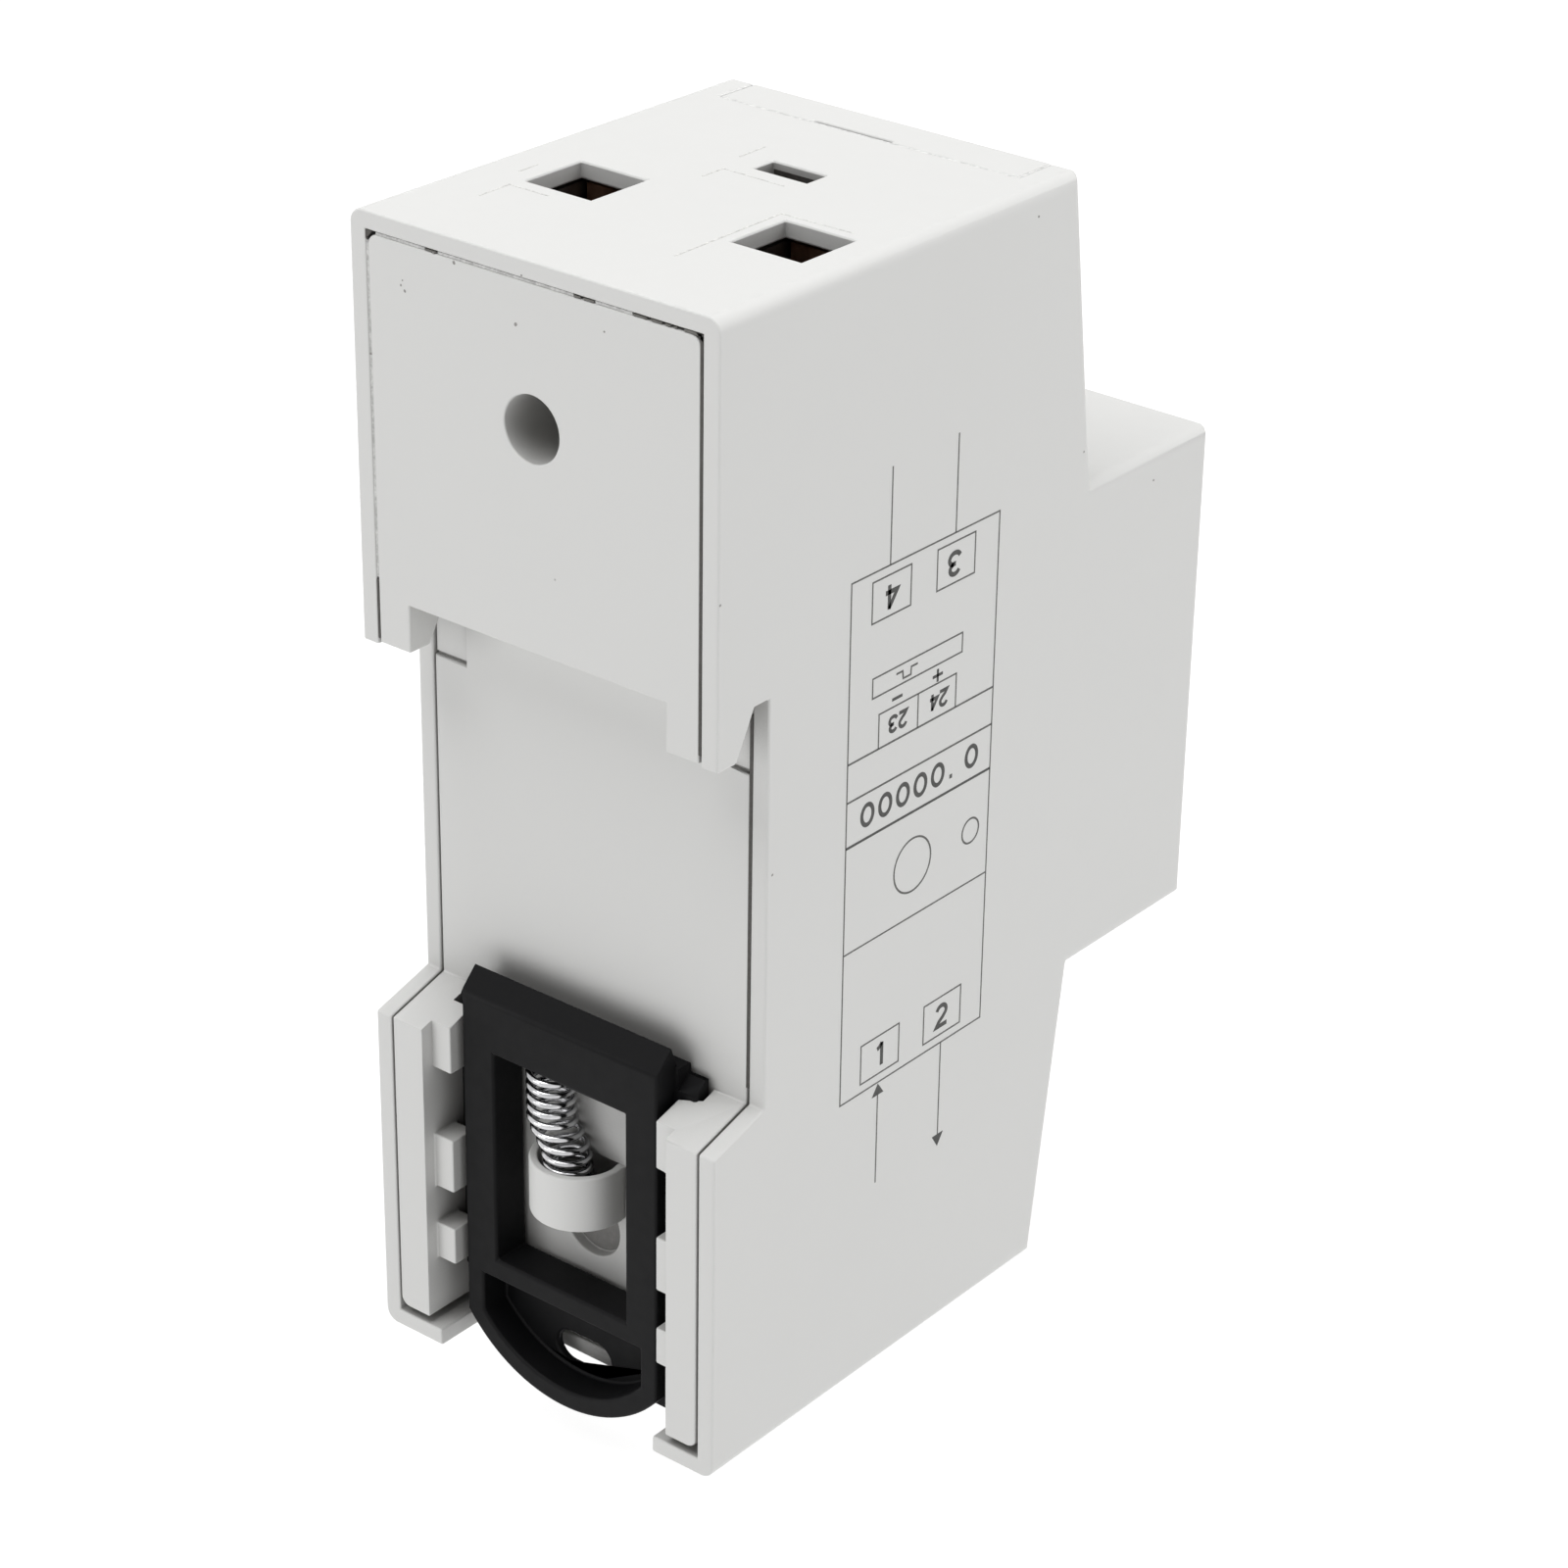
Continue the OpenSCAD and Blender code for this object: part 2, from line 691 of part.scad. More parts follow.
module latch_spring() {
    steps = spring_turns*steps_per_turn;
    points = [for (s = [0:steps]) each spring_ring(s/steps)];
    sides = [for (s = [0:steps - 1], k = [0:ring_sides - 1])
        let (a = s*ring_sides + k, b = s*ring_sides + (k + 1)%ring_sides)
        [a, a + ring_sides, b + ring_sides, b]];
    color(bright_steel)
    polyhedron(points, concat(
        [[for (k = [0:ring_sides - 1]) k]], sides,
        [[for (k = [0:ring_sides - 1]) (steps + 1)*ring_sides - 1 - k]]));
}

// A clamp cage, a frame around the wire with a threaded head
module clamp_cage(i) {
    color(bright_steel)
    at_end(i) difference() {
        block(term_x(i) - cage_x, term_x(i) + cage_x, cage_back, nut_front,
            cage_start, cage_start + cage_len);
        block(term_x(i) - cage_x + cage_wall, term_x(i) + cage_x - cage_wall,
            cage_back + cage_wall, nut_start, cage_start - eps, cage_start + cage_len + eps);
        bar(term_x(i), cage_start + cage_len/2, clamp_d/2 + 0.1, nut_start - eps,
            nut_front + eps);
    }
}

// A screw with a slotted head, whose tip bears on the current bar
module clamp_screw(i) {
    drop = cage_start + cage_len/2;
    color(bright_steel)
    at_end(i) difference() {
        union() {
            bar(term_x(i), drop, clamp_d/2, screw_tip, head_depth + eps);
            bar(term_x(i), drop, head_d/2, head_depth, head_end);
        }
        block(term_x(i) - head_d, term_x(i) + head_d, head_end - screw_slot_deep,
            head_end + over, drop - screw_slot_w/2, drop + screw_slot_w/2);
    }
}

// The bars that join the two clamps of one end, with pins into the main board
module current_bar(link_start) {
    for (i = [3, 4])
        block(term_x(i) - bar_w/2, term_x(i) + bar_w/2, bar_depth, bar_depth + bar_t,
            cage_start, link_start + bar_w);
    block(term_x(4) - bar_w/2, term_x(3) + bar_w/2, bar_depth, bar_depth + bar_t,
        link_start, link_start + bar_w);
    for (i = [3, 4])
        bar(term_x(i), link_start + bar_w/2, pin_r, bar_depth + bar_t - eps, board_front + 1);
}

module shunt_bar() color(copper) mirror([0, 0, 1]) current_bar(shunt_link);
module neutral_bar() color(copper) current_bar(neutral_link);

// Two small wire clamps for the pulse output, on a tongue of the main board
module pulse_terminal_block() {
    color(chip_black)
    difference() {
        block(term_shift - tongue_x, term_shift + tongue_x, board_front,
            deck_depth - board_room, wall + board_room, chamber_len);
        for (x = pulse_x()) {
            block(x - cell_x, x + cell_x, pulse_back - 0.9, pulse_back + pulse_d + 3,
                wall, chamber_len - 1.2);
            bar(x, pulse_screw_drop, pulse_screw_d/2 + 0.6, pulse_back, deck_depth);
        }
    }
}

module pulse_terminal_cages()
    color(brass)
    for (x = pulse_x()) difference() {
        block(x - cage_half, x + cage_half, pulse_back - 0.8, pulse_back + pulse_d + 2.6,
            pulse_cage_start, chamber_len - 1.4);
        block(x - wire_half, x + wire_half, pulse_back - 0.2, pulse_back + pulse_d,
            pulse_cage_start - eps, chamber_len - 2);
        bar(x, pulse_screw_drop, pulse_screw_d/2 + fit, pulse_back, pulse_back + pulse_d + 3);
    }

module pulse_terminal_screws()
    color(bright_steel)
    for (x = pulse_x()) difference() {
        union() {
            bar(x, pulse_screw_drop, pulse_screw_d/2, pulse_back + pulse_d + 0.1,
                deck_depth - pulse_head_t);
            bar(x, pulse_screw_drop, pulse_screw_d/2 + 0.5, deck_depth - pulse_head_t - eps,
                deck_depth);
        }
        block(x - pulse_screw_d, x + pulse_screw_d, deck_depth - 0.7, deck_depth + over,
            pulse_screw_drop - pulse_slot_w/2, pulse_screw_drop + pulse_slot_w/2);
    }

module main_board() {
    color(board_green)
    difference() {
        union() {
            block(-inner_x + board_room, inner_x - board_room, board_depth, board_front,
                chamber_len + chamber_wall + board_room,
                body_h - chamber_len - chamber_wall - board_room);
            block(term_shift - tongue_x, term_shift + tongue_x, board_depth, board_front,
                wall + board_room, chamber_len + chamber_wall + 1);
        }
        for (i = [3, 4])
            bar(term_x(i), neutral_link + bar_w/2, pin_r + fit, 0, nose_depth);
        mirror([0, 0, 1]) for (i = [3, 4])
            bar(term_x(i), shunt_link + bar_w/2, pin_r + fit, 0, nose_depth);
    }
}

module display_board()
    color(board_green)
    block(-inner_x + board_room, inner_x - board_room, display_back, display_depth,
        nose_top + wall + board_room, nose_bottom - wall - board_room);

// Pins in a plastic strip between the two boards
module board_connector() {
    drop = nose_top + strip_down;
    color(chip_black)
    block(-pin_count*pin_pitch/2, pin_count*pin_pitch/2, board_front, board_front + strip_t,
        drop - strip_t/2, drop + strip_t/2);
    color(brass)
    for (k = [0:pin_count - 1])
        block((k - (pin_count - 1)/2)*pin_pitch - pin_w/2,
            (k - (pin_count - 1)/2)*pin_pitch + pin_w/2,
            board_front + strip_t - eps, display_back, drop - pin_w/2, drop + pin_w/2);
}

// A boxy part on the front of the main board
module on_board(x, h, w, l, up)
    block(x - w/2, x + w/2, board_front, board_front + up, h - l/2, h + l/2);

module film_capacitor()
    color([0.85, 0.75, 0.3])
    on_board(film_x, mid - supply_up, film_len, film_w, film_h);

module smoothing_capacitor()
    color(chip_black)
    bar(can_x, mid + can_down, can_d/2, board_front, board_front + can_h);

module varistor() {
    color([0.2, 0.35, 0.6])
    translate([varistor_x, at_y(board_front + varistor_d/2 + 1), at_z(mid + varistor_down)])
        cylinder(d = varistor_d, h = varistor_t, center = true);
    color(bright_steel)
    for (side = [-1, 1])
        bar(varistor_x + side*varistor_d/4, mid + varistor_down, lead_r,
            board_front, board_front + 3);
}

// A resistor that lies on the board on its two leads
module dropper_resistor() {
    color([0.35, 0.5, 0.5])
    translate([resistor_x, at_y(board_front + resistor_d/2 + 0.1), at_z(mid + sense_down)])
        cylinder(d = resistor_d, h = resistor_len, center = true);
    color(bright_steel)
    for (side = [-1, 1])
        bar(resistor_x, mid + sense_down + side*(resistor_len/2 - 1), lead_r,
            board_front, board_front + resistor_d/2);
}

module metering_chip()
    color(chip_black)
    on_board(chip_x, mid + sense_down, chip_w, chip_w, chip_t);
module bridge_rectifier()
    color(chip_black)
    on_board(can_x + 1, mid - supply_up, bridge_w, bridge_len, bridge_t);
module optocoupler()
    color(chip_black)
    on_board(term_shift, opto_down, opto_w, opto_len, opto_t);

// A can with rounded ends
module quartz_crystal()
    color(bright_steel)
    translate([crystal_x, at_y(board_front), at_z(mid + sense_down)])
        rotate([90, 0, 0])
            linear_extrude(crystal_t) round_rect(crystal_w, crystal_len, crystal_w/2 - fit);

// The window lies in its opening, with a flange behind the wall
module display_window() {
    up = mid - window_up;
    color(clear_grey) {
        block(-window_x/2 + fit, window_x/2 - fit, skin_depth - eps, face_depth,
            up - window_z/2 + fit, up + window_z/2 - fit);
        block(-window_x/2 - flange_w, window_x/2 + flange_w, skin_depth - flange_w, skin_depth,
            up - window_z/2 - flange_w, up + window_z/2 + flange_w);
    }
}

module lcd_glass()
    color([0.6, 0.66, 0.58])
    block(-window_x/2 - 0.4, window_x/2 + 0.4, lcd_front - lcd_t, lcd_front,
        mid - window_up - window_z/2 - 0.6, mid - window_up + window_z/2 + 0.6);

// A tray that holds the glass off the display board
module lcd_holder() {
    up = mid - window_up;
    color([0.9, 0.9, 0.88])
    difference() {
        block(-window_x/2 - 0.7, window_x/2 + 0.7, display_depth, lcd_front - lcd_t,
            up - window_z/2 - 0.7, up + window_z/2 + 0.7);
        block(-window_x/2 - 0.7 + tray_w, window_x/2 + 0.7 - tray_w, display_depth + 1, lcd_front,
            up - window_z/2 - 0.7 + tray_w, up + window_z/2 + 0.7 - tray_w);
    }
}

module front_label() {
    low = mid + port_down;
    up = mid - window_up;
    color([0.92, 0.92, 0.9])
    difference() {
        block(-label_x, label_x, face_depth, nose_depth,
            nose_top + label_rim, nose_bottom - label_rim);
        block(-window_x/2 + 0.2, window_x/2 - 0.2, 0, nose_depth + over,
            up - window_z/2 + 0.2, up + window_z/2 - 0.2);
        bar(lens_x, low, port_r + fit, 0, nose_depth + over);
        bar(pipe_x, low, pipe_r + fit, 0, nose_depth + over);
    }
}

module optical_port_lens() color(clear_grey) {
    bar(lens_x, mid + port_down, port_r, skin_depth - eps, nose_depth);
    bar(lens_x, mid + port_down, port_r + flange_w, skin_depth - flange_w, skin_depth);
    bar(lens_x, mid + port_down, 2, display_depth + 2, skin_depth - flange_w + eps);
}

// Sender and receiver beneath the lens
module optical_pair()
    color(chip_black)
    on_display(lens_x, port_down, 5, 3, 1.8);

module on_display(x, down, w, l, up)
    block(x - w/2, x + w/2, display_depth, display_depth + up,
        mid + down - l/2, mid + down + l/2);

module pulse_light_pipe() color(clear_grey) {
    bar(pipe_x, mid + port_down, pipe_r, display_depth + 1.6, nose_depth);
    bar(pipe_x, mid + port_down, pipe_r + 0.6, skin_depth - flange_w, skin_depth);
}

module pulse_lamp() color([0.8, 0.2, 0.15]) on_display(pipe_x, port_down, 2, 1.25, 1.4);

outer_case();
back_base();
rail_latch();
latch_spring();
upper_terminal_cover();
lower_terminal_cover();
display_window();
lcd_glass();
lcd_holder();
front_label();
optical_port_lens();
optical_pair();
pulse_light_pipe();
pulse_lamp();
clamp_cage(1);  // clamp_cage_1
clamp_cage(2);  // clamp_cage_2
clamp_cage(3);  // clamp_cage_3
clamp_cage(4);  // clamp_cage_4
clamp_screw(1);  // clamp_screw_1
clamp_screw(2);  // clamp_screw_2
clamp_screw(3);  // clamp_screw_3
clamp_screw(4);  // clamp_screw_4
shunt_bar();
neutral_bar();
pulse_terminal_block();
pulse_terminal_cages();
pulse_terminal_screws();
main_board();
display_board();
board_connector();
film_capacitor();
smoothing_capacitor();
varistor();
dropper_resistor();
metering_chip();
quartz_crystal();
optocoupler();
bridge_rectifier();
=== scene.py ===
"""An energy meter for a 35 mm rail, seen from its rail side and standing on its latch end.

The solids come packed. This script gives them softened edges, finishes, the coil spring, the printed
line drawing, the low frames moulded on the top end, the traces of handling and painted shade in
recesses and openings. Lengths are in metres unless a name ends in _mm.
"""
import json
import math
import random

import bmesh
import bpy
from mathutils import Matrix, Vector


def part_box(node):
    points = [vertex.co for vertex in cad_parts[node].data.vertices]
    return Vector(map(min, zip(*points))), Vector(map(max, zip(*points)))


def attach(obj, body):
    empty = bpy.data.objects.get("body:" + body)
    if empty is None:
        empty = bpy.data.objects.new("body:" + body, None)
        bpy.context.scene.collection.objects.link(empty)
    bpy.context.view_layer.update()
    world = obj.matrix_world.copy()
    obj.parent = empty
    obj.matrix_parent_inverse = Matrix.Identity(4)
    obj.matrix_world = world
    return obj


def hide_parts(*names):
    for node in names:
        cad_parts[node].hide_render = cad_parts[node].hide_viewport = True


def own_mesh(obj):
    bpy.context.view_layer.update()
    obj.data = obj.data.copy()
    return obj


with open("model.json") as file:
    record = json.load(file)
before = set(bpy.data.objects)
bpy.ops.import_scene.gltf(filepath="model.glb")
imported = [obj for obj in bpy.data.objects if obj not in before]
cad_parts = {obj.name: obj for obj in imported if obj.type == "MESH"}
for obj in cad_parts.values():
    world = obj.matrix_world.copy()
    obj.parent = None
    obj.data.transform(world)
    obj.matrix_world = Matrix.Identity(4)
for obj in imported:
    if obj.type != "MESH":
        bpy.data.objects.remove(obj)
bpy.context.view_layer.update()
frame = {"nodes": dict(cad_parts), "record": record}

MM = 0.001
nodes = frame["nodes"]
record = frame["record"]


# Shader nodes

class Shader:
    """A material being built from nodes."""

    def __init__(self, name):
        self.mat = bpy.data.materials.new(name)
        self.mat.use_nodes = True
        self.tree = self.mat.node_tree
        self.tree.nodes.clear()
        self.out = self.add("ShaderNodeOutputMaterial")
        self.bsdf = self.add("ShaderNodeBsdfPrincipled")
        self.link(self.bsdf.outputs["BSDF"], self.out.inputs["Surface"])
        self.coords = self.add("ShaderNodeTexCoord").outputs["Object"]

    def add(self, kind, **values):
        node = self.tree.nodes.new(kind)
        for key, value in values.items():
            setattr(node, key, value)
        return node

    def link(self, a, b):
        self.tree.links.new(a, b)

    def set(self, **values):
        for key, value in values.items():
            self.bsdf.inputs[key.replace("_", " ")].default_value = value
        return self

    def noise(self, scale, detail=2.0, rough=0.5, stretch=None):
        source = self.coords
        if stretch:
            mapping = self.add("ShaderNodeMapping")
            mapping.inputs["Scale"].default_value = stretch
            self.link(self.coords, mapping.inputs["Vector"])
            source = mapping.outputs["Vector"]
        tex = self.add("ShaderNodeTexNoise")
        tex.inputs["Scale"].default_value = scale
        tex.inputs["Detail"].default_value = detail
        tex.inputs["Roughness"].default_value = rough
        self.link(source, tex.inputs["Vector"])
        return tex.outputs["Fac"]

    def ramp(self, source, stops):
        """Maps a value through stops of (place, grey or colour)."""
        node = self.add("ShaderNodeValToRGB")
        ramp = node.color_ramp
        while len(ramp.elements) < len(stops):
            ramp.elements.new(0.5)
        for element, (place, tone) in zip(ramp.elements, stops):
            element.position = place
            element.color = (*tone, 1.0) if isinstance(tone, tuple) else (tone, tone, tone, 1.0)
        self.link(source, node.inputs["Fac"])
        return node.outputs["Color"]

    def mix(self, fac, a, b, mode="MIX"):
        node = self.add("ShaderNodeMix", data_type="RGBA", blend_type=mode)
        for socket, value in ((node.inputs["Factor"], fac), (node.inputs["A"], a), (node.inputs["B"], b)):
            self.feed(socket, value)
        return node.outputs["Result"]

    def feed(self, socket, value):
        if isinstance(value, bpy.types.NodeSocket):
            self.link(value, socket)
        elif isinstance(value, tuple):
            socket.default_value = (*value, 1.0)
        else:
            socket.default_value = value

    def maths(self, operation, a, b):
        node = self.add("ShaderNodeMath", operation=operation)
        self.feed(node.inputs[0], a)
        self.feed(node.inputs[1], b)
        return node.outputs["Value"]

    def colour(self, value):
        self.feed(self.bsdf.inputs["Base Color"], value)
        return self

    def rough(self, value):
        self.feed(self.bsdf.inputs["Roughness"], value)
        return self

    def bump(self, height, strength, distance):
        node = self.add("ShaderNodeBump")
        node.inputs["Strength"].default_value = strength
        node.inputs["Distance"].default_value = distance
        self.link(height, node.inputs["Height"])
        self.link(node.outputs["Normal"], self.bsdf.inputs["Normal"])
        return self


def moulded(name, tone, shade, roughness, grain_strength, specks=0.0, specular=0.4, recess_shade=None):
    """Moulded plastic: a fine spark-eroded grain, a slow shift of tone, a few dark flecks, and
    painted shade that darkens the colour in deep, occluded places."""
    m = Shader(name)
    slow = m.noise(28.0, 3.0)
    colour = m.ramp(slow, ((0.3, tuple(c*shade for c in tone)), (0.7, tone)))
    if specks:
        cells = m.add("ShaderNodeTexVoronoi", feature="F1", distance="EUCLIDEAN")
        cells.inputs["Scale"].default_value = 420.0
        cells.inputs["Randomness"].default_value = 1.0
        m.link(m.coords, cells.inputs["Vector"])
        near = m.ramp(cells.outputs["Distance"], ((0.0, 1.0), (0.055, 0.0)))
        rare = m.ramp(m.noise(140.0, 1.0), ((0.66, 0.0), (0.7, 1.0)))
        fleck = m.maths("MULTIPLY", near, rare)
        colour = m.mix(m.maths("MULTIPLY", fleck, specks), colour, tuple(c*0.35 for c in tone))
    # Painted shade: an ambient occlusion mask pulls the colour towards a dark tone in recesses, creases and
    # between parts.
    if recess_shade:
        deep = m.add("ShaderNodeAmbientOcclusion", samples=6)
        deep.inputs["Distance"].default_value = 0.006
        colour = m.mix(m.ramp(deep.outputs["AO"], ((0.25, 0.78), (0.8, 0.0))), colour, recess_shade)
    m.colour(colour)
    fine = m.noise(5200.0, 2.0, 0.6)
    m.rough(m.ramp(m.noise(700.0, 3.0), ((0.3, roughness - 0.05), (0.7, roughness + 0.05))))
    m.bump(fine, grain_strength, 0.00002)
    m.set(Specular_IOR_Level=specular)
    return m.mat


def metal(name, tone, dark, roughness, streak=(1.0, 1.0, 1.0), tarnish=0.35):
    """Plated or drawn metal with fine streaks and a patchy tone."""
    m = Shader(name)
    patch = m.noise(260.0, 4.0, 0.6)
    m.colour(m.ramp(patch, ((tarnish, dark), (tarnish + 0.3, tone))))
    lines = m.noise(1900.0, 3.0, 0.5, streak)
    m.rough(m.ramp(lines, ((0.3, roughness - 0.06), (0.7, roughness + 0.08))))
    m.bump(lines, 0.12, 0.00002)
    m.set(Metallic=1.0)
    return m.mat


def clear(name, tone, roughness, amount, ior=1.5):
    """Clear moulded plastic or glass."""
    m = Shader(name)
    m.colour(m.ramp(m.noise(60.0, 2.0), ((0.3, tuple(c*0.97 for c in tone)), (0.7, tone))))
    m.rough(m.ramp(m.noise(300.0, 2.0), ((0.3, roughness), (0.7, roughness + 0.03))))
    m.set(IOR=ior, Transmission_Weight=amount)
    return m.mat


def circuit_board(name):
    """Green solder mask over copper tracks."""
    m = Shader(name)
    bricks = m.add("ShaderNodeTexBrick", offset=0.5)
    bricks.inputs["Scale"].default_value = 420.0
    bricks.inputs["Mortar Size"].default_value = 0.012
    bricks.inputs["Color1"].default_value = (0.02, 0.12, 0.055, 1.0)
    bricks.inputs["Color2"].default_value = (0.028, 0.16, 0.075, 1.0)
    bricks.inputs["Mortar"].default_value = (0.05, 0.24, 0.11, 1.0)
    turned = m.add("ShaderNodeMapping")
    turned.inputs["Rotation"].default_value = (math.radians(90), 0.0, 0.0)
    m.link(m.coords, turned.inputs["Vector"])
    m.link(turned.outputs["Vector"], bricks.inputs["Vector"])
    m.colour(bricks.outputs["Color"])
    m.rough(m.ramp(m.noise(400.0), ((0.3, 0.3), (0.7, 0.42))))
    m.bump(bricks.outputs["Fac"], 0.2, 0.00003)
    return m.mat


def lcd_glass_look(name):
    """The grey green field of a display that is switched off, with faint digit cells."""
    m = Shader(name)
    cells = m.add("ShaderNodeTexBrick", offset=0.0)
    cells.inputs["Scale"].default_value = 250.0
    cells.inputs["Mortar Size"].default_value = 0.02
    cells.inputs["Color1"].default_value = (0.235, 0.27, 0.2, 1.0)
    cells.inputs["Color2"].default_value = (0.25, 0.285, 0.215, 1.0)
    cells.inputs["Mortar"].default_value = (0.27, 0.305, 0.235, 1.0)
    turned = m.add("ShaderNodeMapping")
    turned.inputs["Rotation"].default_value = (math.radians(90), 0.0, 0.0)
    m.link(m.coords, turned.inputs["Vector"])
    m.link(turned.outputs["Vector"], cells.inputs["Vector"])
    m.colour(cells.outputs["Color"])
    m.rough(m.ramp(m.noise(200.0), ((0.3, 0.1), (0.7, 0.16))))
    m.set(Coat_Weight=0.6, Coat_Roughness=0.05)
    return m.mat


def tinted_finish(name, tone, spread=1.7):
    """A flat tone with a slightly uneven cover, for screen print, stains, dust and painted shade."""
    m = Shader(name)
    m.colour(m.ramp(m.noise(2600.0, 3.0, 0.6), ((0.35, tone), (0.75, tuple(c*spread for c in tone)))))
    m.rough(m.ramp(m.noise(900.0), ((0.3, 0.5), (0.7, 0.62))))
    return m.mat


LOOKS = {
    # The housing is darkened by painted shade in its recesses.
    "housing": moulded("housing", (0.79, 0.79, 0.776), 0.985, 0.5, 0.22, specks=0.8, specular=0.25,
                       recess_shade=(0.3, 0.295, 0.285)),
    "latch": moulded("latch", (0.0065, 0.0065, 0.007), 0.8, 0.5, 0.3, specular=0.1),
    "spring": metal("spring", (0.62, 0.62, 0.63), (0.34, 0.34, 0.35), 0.12, tarnish=0.3),
    "window": clear("window", (0.96, 0.97, 0.98), 0.04, 0.92),
    "lcd": lcd_glass_look("lcd"),
    "tray": moulded("tray", (0.82, 0.82, 0.8), 0.97, 0.5, 0.1),
    "label": moulded("label", (0.83, 0.83, 0.82), 0.99, 0.38, 0.06),
    "lens": clear("lens", (0.93, 0.95, 0.97), 0.08, 0.8),
    "lamp": moulded("lamp", (0.55, 0.02, 0.012), 0.8, 0.3, 0.05),
    # Clamp cages: a dark passivated tone, darkened further as painted shade for the inside of the wire entries
    "cage": metal("cage", (0.17, 0.155, 0.145), (0.08, 0.07, 0.065), 0.4, (1.0, 14.0, 1.0)),
    "screw": metal("screw", (0.66, 0.65, 0.62), (0.4, 0.39, 0.36), 0.28, (1.0, 20.0, 1.0)),
    "current_bar": metal("current_bar", (0.52, 0.3, 0.2), (0.2, 0.1, 0.06), 0.35, (1.0, 1.0, 12.0)),
    "brass": metal("brass", (0.66, 0.48, 0.22), (0.42, 0.28, 0.11), 0.3, (1.0, 12.0, 1.0)),
    "block": moulded("block", (0.025, 0.025, 0.026), 0.7, 0.45, 0.2),
    "board": circuit_board("board"),
    "pins": metal("pins", (0.7, 0.52, 0.22), (0.5, 0.34, 0.13), 0.25),
    "capacitor_box": moulded("capacitor_box", (0.62, 0.45, 0.05), 0.88, 0.35, 0.1),
    "can": moulded("can", (0.02, 0.022, 0.035), 0.75, 0.3, 0.05),
    "varistor": moulded("varistor", (0.03, 0.09, 0.28), 0.8, 0.28, 0.3),
    "resistor": moulded("resistor", (0.12, 0.25, 0.24), 0.8, 0.35, 0.25),
    "chip": moulded("chip", (0.018, 0.018, 0.02), 0.8, 0.5, 0.25),
    "crystal": metal("crystal", (0.7, 0.7, 0.71), (0.5, 0.5, 0.51), 0.24),
}
PRINT_INK = tinted_finish("print_ink", (0.035, 0.035, 0.033))
LINE_INK = tinted_finish("line_ink", (0.075, 0.075, 0.07))
# Dark tone for the joints and for the painted shade in the pulse entry
DIRT_AND_SHADE = tinted_finish("dirt_and_shade", (0.045, 0.042, 0.038))
FAINT_DIRT = tinted_finish("faint_dirt", (0.12, 0.115, 0.105))
DUST = tinted_finish("dust", (0.46, 0.46, 0.45))
PALE_DUST = tinted_finish("pale_dust", (0.62, 0.62, 0.61))
# Grey tone of the moulded frames: painted shade of their low edges
FRAME_SHADE = tinted_finish("frame", (0.6, 0.6, 0.585))
FLECK = tinted_finish("fleck", (0.26, 0.25, 0.24))
# Tone of the painted shade on the floor of the ejector mark
MARK_SHADE = tinted_finish("mark_shade", (0.2, 0.195, 0.188), 1.2)


# Meshes

def mesh_object(name, verts, faces, material):
    mesh = bpy.data.meshes.new(name)
    mesh.from_pydata(verts, [], faces)
    mesh.materials.append(material)
    obj = bpy.data.objects.new(name, mesh)
    bpy.context.scene.collection.objects.link(obj)
    return obj


def apply_modifiers(obj):
    depsgraph = bpy.context.evaluated_depsgraph_get()
    mesh = bpy.data.meshes.new_from_object(obj.evaluated_get(depsgraph))
    old = obj.data
    obj.modifiers.clear()
    obj.data = mesh
    bpy.data.meshes.remove(old)


def node_body(node):
    for body, members in record["behaviour"]["bodies"].items():
        if node in members:
            return body
    return "root"


def sharp_edges(bm, angle):
    limit = math.radians(angle)
    return [e for e in bm.edges if len(e.link_faces) == 2 and e.calc_face_angle(0.0) > limit]


def runs_on(edge, vert, sharp):
    """Whether a sharp edge goes on past a vertex as part of a curve."""
    others = [e for e in vert.link_edges if e in sharp and e is not edge]
    if len(others) != 1:
        return False
    a = vert.co - edge.other_vert(vert).co
    b = others[0].other_vert(vert).co - vert.co
    return a.angle(b, math.pi) < math.radians(40.0)


def soften(node, width, segments=2, angle=30.0):
    """A copy of a solid whose sharp edges are rounded, shown in the place of the solid."""
    source = nodes[node]
    bm = bmesh.new()
    bm.from_mesh(source.data)
    bmesh.ops.remove_doubles(bm, verts=bm.verts, dist=0.000002)
    bmesh.ops.dissolve_limit(bm, angle_limit=math.radians(0.5), verts=bm.verts, edges=bm.edges)
    layer = bm.edges.layers.float.new("bevel_weight_edge")
    sharp = set(sharp_edges(bm, angle))
    held = set()
    for e in sharp:
        if e.calc_length() < 2.3*width and not all(runs_on(e, v, sharp) for v in e.verts):
            held.update(e.verts)
    for e in sharp:
        if not (e.verts[0] in held or e.verts[1] in held):
            e[layer] = 1.0
    mesh = bpy.data.meshes.new(node + "_shaped")
    bm.to_mesh(mesh)
    bm.free()
    obj = bpy.data.objects.new(node + "_shaped", mesh)
    bpy.context.scene.collection.objects.link(obj)
    bevel = obj.modifiers.new("edges", "BEVEL")
    bevel.limit_method = "WEIGHT"
    bevel.width = width
    bevel.segments = segments
    bevel.use_clamp_overlap = False
    bevel.miter_outer = "MITER_SHARP"
    bevel.harden_normals = False
    apply_modifiers(obj)
    for p in obj.data.polygons:
        p.use_smooth = True
    obj.data.set_sharp_from_angle(angle=math.radians(35.0))
    weighted = obj.modifiers.new("normals", "WEIGHTED_NORMAL")
    weighted.keep_sharp = True
    apply_modifiers(obj)
    slot = SLOTS[node]
    obj.data.materials.clear()
    obj.data.materials.append(LOOKS[slot])
    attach(obj, node_body(node))
    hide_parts(node)
    return obj


